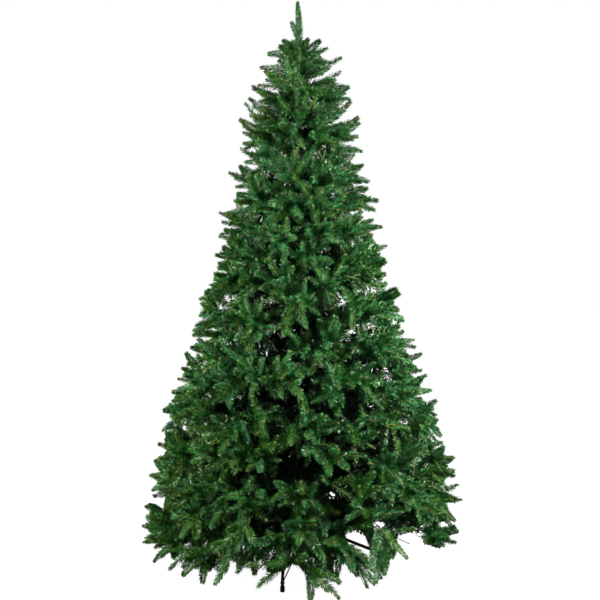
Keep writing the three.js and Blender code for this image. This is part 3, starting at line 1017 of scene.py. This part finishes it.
def bent_rod(name, points, radius):
    """A rod of round section through points, with a curve's handles at each: (place, handle before, handle after)."""
    select()
    bpy.ops.curve.primitive_bezier_curve_add()
    rod = bpy.context.object
    rod.name = name
    curve = rod.data
    spline = curve.splines[0]
    spline.bezier_points.add(len(points) - 2)
    for knot, (place, before, after) in zip(spline.bezier_points, points):
        knot.handle_left_type = knot.handle_right_type = "FREE"
        knot.co, knot.handle_left, knot.handle_right = place, before, after
    curve.bevel_depth, curve.bevel_resolution, curve.resolution_u, curve.use_fill_caps = radius, 5, 14, True
    bpy.ops.object.convert(target="MESH")
    smooth_below(40)
    return rod


def rounded_plate(centre, size, rounding):
    """A flat plate with rounded edges."""
    select()
    bpy.ops.mesh.primitive_cube_add(size=1, location=centre, scale=size)
    plate = bpy.context.object
    apply_transform()
    bevel = plate.modifiers.new("bevel", "BEVEL")
    bevel.width, bevel.segments, bevel.limit_method = rounding, 3, "NONE"
    bpy.ops.object.modifier_apply(modifier="bevel")
    smooth_below(35)
    return plate


def rivet(x, z, half, radius=0.0034, shank=0.0018):
    """A rivet through a pair of lugs, with a domed head on both sides."""
    head = [(0, half + 0.0020), (radius * 0.7, half + 0.0015), (radius, half), (shank, half)]
    pin = turned_profile("rivet", [(r, -along) for r, along in head] + head[::-1], 12)
    pin.rotation_euler = (math.pi / 2, 0, 0)
    pin.location = (x, 0, z)
    apply_transform()
    return pin


def turned_copies(obj):
    """Copies of an object, with their own meshes, turned to each of the legs' directions."""
    copies = []
    for i in range(STAND_LEGS):
        copy = obj.copy()
        copy.data = obj.data.copy()
        copy.rotation_euler = (0, 0, FIRST_LEG + 2 * math.pi * i / STAND_LEGS)
        bpy.context.scene.collection.objects.link(copy)
        copies.append(copy)
    bpy.data.objects.remove(obj)
    select(*copies)
    apply_transform()
    return copies


def numbered_pieces(obj, name, slot, material):
    for i, copy in enumerate(turned_copies(obj)):
        copy.name = f"{name}_{i + 1}"
        finish_piece(copy, slot, material, f"stand_{name}_{i + 1}")


def wire_tube(wire, steps, sides, **strands):
    """A bough's or twig's wire as a tube."""
    along = np.linspace(0, 1, steps + 1)
    points = np.array([wire.at(a) for a in along])
    return tube(points, wire.radius + (wire.end_radius - wire.radius) * along, sides, **strands)


def smooth_piece(name, parts, slot, material, *nodes):
    finish_piece(mesh_object(name, *joined(parts), smooth=True), slot, material, *nodes)


# ---- Operators ----


class SPRUCE_OT_pole(Operator):
    """Makes the stepped steel pole with its swaged ends"""

    bl_idname = "spruce.pole"
    bl_label = "Pole"

    def execute(self, context):
        swage, lip, spike = 0.007, 0.0006, 0.002
        profile = [(0, POLE_FOOT), (POLE_RADIUS - 0.001, POLE_FOOT), (POLE_RADIUS, POLE_FOOT + 0.001)]
        for i, (top, radius) in enumerate(POLE_SECTIONS):
            after = POLE_SECTIONS[i + 1][1] if i + 1 < len(POLE_SECTIONS) else spike
            profile += [(radius, top - swage - 0.012), (radius + lip, top - swage - 0.010)]
            profile += [(radius + lip, top - swage), (radius, top - swage + 0.001), (after, top)]
        profile += [(spike, TREE_HEIGHT - 0.030), (0, TREE_HEIGHT - 0.028)]
        pole = turned_profile("pole", profile, 32)
        finish_piece(pole, "pole", surface_material("pole_enamel"), "trunk_pole")
        return {"FINISHED"}


class SPRUCE_OT_socket(Operator):
    """Makes the stand's socket: a tube with a rolled rim, collars and riveted lugs for the legs and braces"""

    bl_idname = "spruce.socket"
    bl_label = "Socket"

    def execute(self, context):
        outer, inner, collar, rim = SOCKET_RADIUS, SOCKET_RADIUS - SOCKET_WALL, 0.0012, 0.003
        profile = [(0, SOCKET_LOW), (outer - 0.003, SOCKET_LOW), (outer - 0.0008, SOCKET_LOW + 0.0008)]
        profile += [(outer, SOCKET_LOW + 0.003)]
        for height, half in ((BRACE_ROOT_HEIGHT, 0.011), (LEG_ROOT_HEIGHT, 0.016)):
            profile += [(outer, height - half - 0.001), (outer + collar, height - half)]
            profile += [(outer + collar, height + half), (outer, height + half + 0.001)]
        profile += [(outer, SOCKET_HIGH - 2 * rim)]
        for turn in np.linspace(-math.pi / 2, math.pi / 2, 9):
            profile.append((outer + rim * math.cos(turn), SOCKET_HIGH - rim + rim * math.sin(turn)))
        profile += [(inner, SOCKET_HIGH - 0.001), (inner, POLE_FOOT - 0.001), (0, POLE_FOOT - 0.001)]
        socket = turned_profile("socket", profile, 40)
        lugs = []
        for thickness, length, height, half, level in (
            (0.004, 0.030, 0.026, LEG_RADIUS, LEG_ROOT_HEIGHT),
            (0.003, 0.024, 0.016, BRACE_RADIUS, BRACE_ROOT_HEIGHT),
        ):
            for side in (-1, 1):
                centre = (inner + 0.001 + length / 2, side * (half + PLAY + thickness / 2), level)
                lugs.append(rounded_plate(centre, (length, thickness, height), 0.0012))
            lugs.append(rivet(inner + 0.8 * length, level, half + thickness))
        lug = joined_objects("lug", lugs)
        socket = joined_objects("socket", [socket, *turned_copies(lug)])
        finish_piece(socket, "stand", surface_material("stand_enamel"), "stand_socket")
        return {"FINISHED"}


class SPRUCE_OT_legs(Operator):
    """Makes the bent legs, their braces and the plastic cups they stand in"""

    bl_idname = "spruce.legs"
    bl_label = "Legs"

    def execute(self, context):
        enamel = surface_material("stand_enamel")
        root, knee = Vector((LEG_ROOT, 0, LEG_ROOT_HEIGHT)), Vector((LEG_REACH, 0, KNEE_HEIGHT))
        end = Vector((LEG_REACH, 0, SOLE + 0.0005))
        before = knee.lerp(root, KNEE_BEND / (knee - root).length)
        after = knee.lerp(end, KNEE_BEND / (knee - end).length)
        points = [(root, root, root.lerp(before, 0.3)), (before, before.lerp(root, 0.1), before.lerp(knee, 2 / 3))]
        points += [(after, after.lerp(knee, 2 / 3), after.lerp(end, 0.1)), (end, end.lerp(after, 0.3), end)]
        numbered_pieces(bent_rod("leg", points, LEG_RADIUS), "leg", "stand", enamel)

        slope = (BRACE_ROOT_HEIGHT - BRACE_END_HEIGHT) / (LEG_REACH - BRACE_ROOT)
        leg_side = LEG_REACH - LEG_RADIUS - PLAY - BRACE_RADIUS * slope
        start, stop = Vector((BRACE_ROOT, 0, BRACE_ROOT_HEIGHT)), Vector((leg_side, 0, BRACE_END_HEIGHT))
        third = (stop - start) / 3
        rod = bent_rod("rod", [(start, start, start + third), (stop, stop - third, stop)], BRACE_RADIUS)
        select()
        bpy.ops.mesh.primitive_torus_add(
            location=(LEG_REACH, 0, BRACE_END_HEIGHT),
            major_radius=LEG_RADIUS + 0.0014,
            minor_radius=0.0014,
            major_segments=28,
            minor_segments=10,
        )
        clip = context.object
        clip.scale.z = 2.2
        apply_transform()
        smooth_below(40)
        numbered_pieces(joined_objects("brace", [rod, clip]), "brace", "stand", enamel)

        radius, inside = FOOT_RADIUS, LEG_RADIUS + PLAY
        profile = [(0, 0), (radius - 0.0022, 0), (radius - 0.0007, 0.0007), (radius, 0.0022), (radius, 0.006)]
        profile += [(radius - 0.0006, 0.007), (radius - 0.0006, 0.009), (radius, 0.010)]
        profile += [(radius - 0.0007, FOOT_HEIGHT - 0.002), (radius - 0.0013, FOOT_HEIGHT)]
        profile += [(inside, FOOT_HEIGHT), (inside, SOLE), (0, SOLE)]
        foot = turned_profile("foot", profile, 28)
        foot.location.x = LEG_REACH
        apply_transform()
        numbered_pieces(foot, "foot", "plastic", surface_material("black_plastic"))
        return {"FINISHED"}


class SPRUCE_OT_thumbscrew(Operator):
    """Makes the screw that clamps the pole, with ridges on its shank and a wing with two ears"""

    bl_idname = "spruce.thumbscrew"
    bl_label = "Thumbscrew"

    def execute(self, context):
        profile, along, pitch = [(0, 0), (SCREW_RADIUS - 0.0008, 0)], 0.0004, 0.0012
        while along < SCREW_LENGTH * 0.7:
            profile += [(SCREW_RADIUS, along), (SCREW_RADIUS - 0.0006, along + pitch / 2)]
            along += pitch
        profile += [(SCREW_RADIUS + 0.001, along), (SCREW_RADIUS + 0.001, SCREW_LENGTH - 0.001)]
        profile += [(SCREW_RADIUS, SCREW_LENGTH), (0, SCREW_LENGTH)]
        shank = turned_profile("shank", profile, 20)
        shank.rotation_euler = (0, math.pi / 2, 0)
        shank.location = (SOCKET_RADIUS + PLAY, 0, SCREW_HEIGHT)
        apply_transform()
        ears = []
        for side in (-1, 1):
            centre = (SOCKET_RADIUS + SCREW_LENGTH + 0.001, 0, SCREW_HEIGHT + side * 0.0058)
            ear = rounded_plate(centre, (0.011, 0.0036, 0.0120), 0.0017)
            ear.modifiers.new("soften", "SUBSURF").levels = 1
            bpy.ops.object.modifier_apply(modifier="soften")
            ears.append(ear)
        screw = joined_objects("thumbscrew", [shank, *ears])
        screw.rotation_euler = (0, 0, FIRST_LEG + math.pi / STAND_LEGS)
        apply_transform()
        finish_piece(screw, "stand", surface_material("stand_enamel"), "stand_thumbscrew")
        return {"FINISHED"}


class SPRUCE_OT_holders(Operator):
    """Makes the spools on the pole that the boughs hook into, one for each ring"""

    bl_idname = "spruce.holders"
    bl_label = "Bough holders"

    def execute(self, context):
        heights = np.array([-0.01601, -0.016, -0.013, -0.011, 0.004, 0.006, 0.009, 0.00901])
        growth = np.array([0.0002, 0.0050, 0.0060, 0.0028, 0.0028, 0.0060, 0.0050, 0.0002])
        parts = []
        for root in crown().rings:
            places = np.stack([0 * heights, 0 * heights, root + heights], -1)
            parts.append(tube(places, pole_radius(root) + growth, 20, closed=False))
        holders = mesh_object("bough_holders", *joined(parts))
        finish_piece(holders, "pole", surface_material("black_plastic"))
        return {"FINISHED"}


class SPRUCE_OT_boughs(Operator):
    """Makes the boughs: two twisted strands of wire each, thickest at the pole"""

    bl_idname = "spruce.boughs"
    bl_label = "Boughs"

    def execute(self, context):
        parts = [wire_tube(w, max(3, int(w.length / 0.014)), 6, lobes=0.2, twist=140) for w in crown().boughs]
        smooth_piece("boughs", parts, "boughs", surface_material("wrapped_wire"), *nodes_named("bough_"))
        return {"FINISHED"}


class SPRUCE_OT_twigs(Operator):
    """Makes the twigs that leave the boughs"""

    bl_idname = "spruce.twigs"
    bl_label = "Twigs"

    def execute(self, context):
        parts = [wire_tube(wire, 3, 5) for wire in crown().twigs]
        smooth_piece("twigs", parts, "boughs", surface_material("wrapped_wire"))
        return {"FINISHED"}


class SPRUCE_OT_tip_cores(Operator):
    """Makes the wire in the middle of each tip but those deep inside the crown, and the blunt bud at its end"""

    bl_idname = "spruce.tip_cores"
    bl_label = "Tip cores and buds"

    def execute(self, context):
        cores, buds, bud_length = [], [], 0.005
        for tip in crown().tips:
            if TONES[tip.tone] == "shaded":
                continue
            curve = tip.at(np.linspace(0, 1, 3 if tip.grade else 4)[:, None])
            cores.append(tube(curve, np.linspace(0.0017, 0.0013, len(curve)), 3, closed=False))
            ends = np.array([curve[-1], curve[-1] + bud_length * unit(curve[-1] - curve[-2])])
            buds.append(tube(ends, np.array([0.0026, 0.0020]), 3, overhang=bud_length))
        smooth_piece("tip_cores", cores, "needles", core_material())
        smooth_piece("tip_buds", buds, "needles", bud_material())
        return {"FINISHED"}


class SPRUCE_OT_needles(Operator):
    """Makes the needles: one piece for each tier of the crown and tone of green"""

    bl_idname = "spruce.needles"
    bl_label = "Needles"

    def execute(self, context):
        sizes = context.scene.spruce_crown
        rng = np.random.default_rng(sizes.seed + 1)
        grades = (
            (sizes.needles_per_tip, sizes.needle_width),
            (sizes.needles_half_inside, 0.6 * sizes.needle_width + 0.4 * sizes.inner_needle_width),
            (sizes.needles_inside, sizes.inner_needle_width),
        )
        brushes = [[needle_brush(rng, *grade, sizes) for _ in range(PATTERNS)] for grade in grades]
        for level, (tier, _) in enumerate(TIERS):
            for shade, tone in enumerate(TONES):
                tips = [t for t in crown().tips if t.tier == level and t.tone == shade]
                if tips:
                    self.piece(f"needles_{tier}_{tone}", tips, brushes, tone)
            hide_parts(*nodes_named(f"foliage_{tier}"))
            if tier == "top":
                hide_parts("foliage_leader")
        return {"FINISHED"}

    def piece(self, name, tips, brushes, tone):
        points = []
        for grade, patterns in enumerate(brushes):
            for i, pattern in enumerate(patterns):
                alike = [t for t in tips if t.grade == grade][i :: len(patterns)]
                if alike:
                    points.append(brush_points(alike, *pattern).reshape(-1, 3))
        points = np.concatenate(points)
        foot = np.arange(0, len(points), 4)[:, None]
        obj = mesh_object(name, points, np.concatenate([foot + [0, 1, 2], foot + [0, 2, 3]]))
        return finish_piece(obj, "needles", needle_material(tone))


class SPRUCE_OT_stage(Operator):
    """Makes the floor, the light and the camera"""

    bl_idname = "spruce.stage"
    bl_label = "Stage"

    def execute(self, context):
        stage = context.scene.spruce_stage
        select()
        bpy.ops.mesh.primitive_plane_add(size=stage.floor_size)
        floor = context.object
        floor.name = "floor"
        floor.data.materials.append(floor_material(stage.floor_lift))

        world = bpy.data.worlds.new("studio")
        world.use_nodes = True
        tree = world.node_tree
        seen = add_node(tree, "ShaderNodeLightPath").outputs["Is Camera Ray"]
        strength = mixed(tree, seen, stage.sky, stage.backdrop, "FLOAT")
        feed(tree, tree.nodes["Background"], {"Color": (1, 1, 1, 1), "Strength": strength})
        context.scene.world = world

        # The panels stand close by, so that their light falls off towards the bottom of the tree.
        panel = {"size": 0.8, "spread": math.radians(85)}
        sharp, soft = {"angle": math.radians(8)}, {"angle": math.radians(60)}
        half_way = TREE_HEIGHT / 2
        self.lamp("key_light", "SUN", (1.6, -4.4, 5.6), half_way, stage.key, sharp)
        self.lamp("right_panel", "AREA", (2.7, -1.2, 2.3), PANEL_AIM, stage.right_panel, panel)
        self.lamp("left_panel", "AREA", (-2.7, -1.3, 1.5), PANEL_AIM, stage.left_panel, panel)
        self.lamp("fill_light", "SUN", (-4.0, -3.0, 2.0), half_way, stage.fill, soft)
        self.lamp("back_light", "SUN", (-2.0, 4.0, 4.0), half_way, stage.back, soft)

        camera = bpy.data.cameras.new("camera")
        camera.sensor_width, camera.lens, camera.shift_y = SENSOR_WIDTH, LENS, LENS_SHIFT
        eye = bpy.data.objects.new("camera", camera)
        eye.location = (0, -VIEW_DISTANCE, VIEW_HEIGHT)
        eye.rotation_euler = (math.pi / 2, 0, 0)
        context.scene.collection.objects.link(eye)
        context.scene.camera = eye
        context.scene.view_settings.view_transform = "Standard"
        return {"FINISHED"}

    def lamp(self, name, kind, place, aim, energy, form):
        """A light at a place, turned to a height on the pole's axis."""
        light = bpy.data.lights.new(name, kind)
        light.energy = energy
        for setting, value in form.items():
            setattr(light, setting, value)
        lamp = bpy.data.objects.new(name, light)
        lamp.location = place
        lamp.rotation_euler = (Vector((0, 0, aim)) - lamp.location).to_track_quat("-Z", "Y").to_euler()
        bpy.context.scene.collection.objects.link(lamp)


class SPRUCE_PT_panel(Panel):
    """Lists the tree's pieces and settings in the sidebar"""

    bl_idname = "SPRUCE_PT_panel"
    bl_label = "Spruce Tree"
    bl_space_type = "VIEW_3D"
    bl_region_type = "UI"
    bl_category = "Spruce"

    def draw(self, context):
        layout = self.layout
        for step in STEPS:
            layout.operator(step.bl_idname)
        for settings in SETTINGS:
            box = layout.box()
            group = getattr(context.scene, settings)
            for name in type(group).__annotations__:
                box.prop(group, name)


STEPS = (
    SPRUCE_OT_stage,
    SPRUCE_OT_socket,
    SPRUCE_OT_legs,
    SPRUCE_OT_thumbscrew,
    SPRUCE_OT_pole,
    SPRUCE_OT_holders,
    SPRUCE_OT_boughs,
    SPRUCE_OT_twigs,
    SPRUCE_OT_tip_cores,
    SPRUCE_OT_needles,
)
SETTINGS = {"spruce_crown": CrownSizes, "spruce_colours": Colours, "spruce_stage": StageSettings}
CLASSES = (*SETTINGS.values(), *STEPS, SPRUCE_PT_panel)


def register():
    for cls in CLASSES:
        bpy.utils.register_class(cls)
    for name, kind in SETTINGS.items():
        setattr(bpy.types.Scene, name, PointerProperty(type=kind))


def unregister():
    for name in SETTINGS:
        delattr(bpy.types.Scene, name)
    for cls in reversed(CLASSES):
        bpy.utils.unregister_class(cls)


def main():
    register()
    bpy.ops.spruce.stage()
    bpy.ops.spruce.socket()
    bpy.ops.spruce.legs()
    bpy.ops.spruce.thumbscrew()
    bpy.ops.spruce.pole()
    bpy.ops.spruce.holders()
    bpy.ops.spruce.boughs()
    bpy.ops.spruce.twigs()
    bpy.ops.spruce.tip_cores()
    bpy.ops.spruce.needles()


if __name__ == "__main__":
    main()
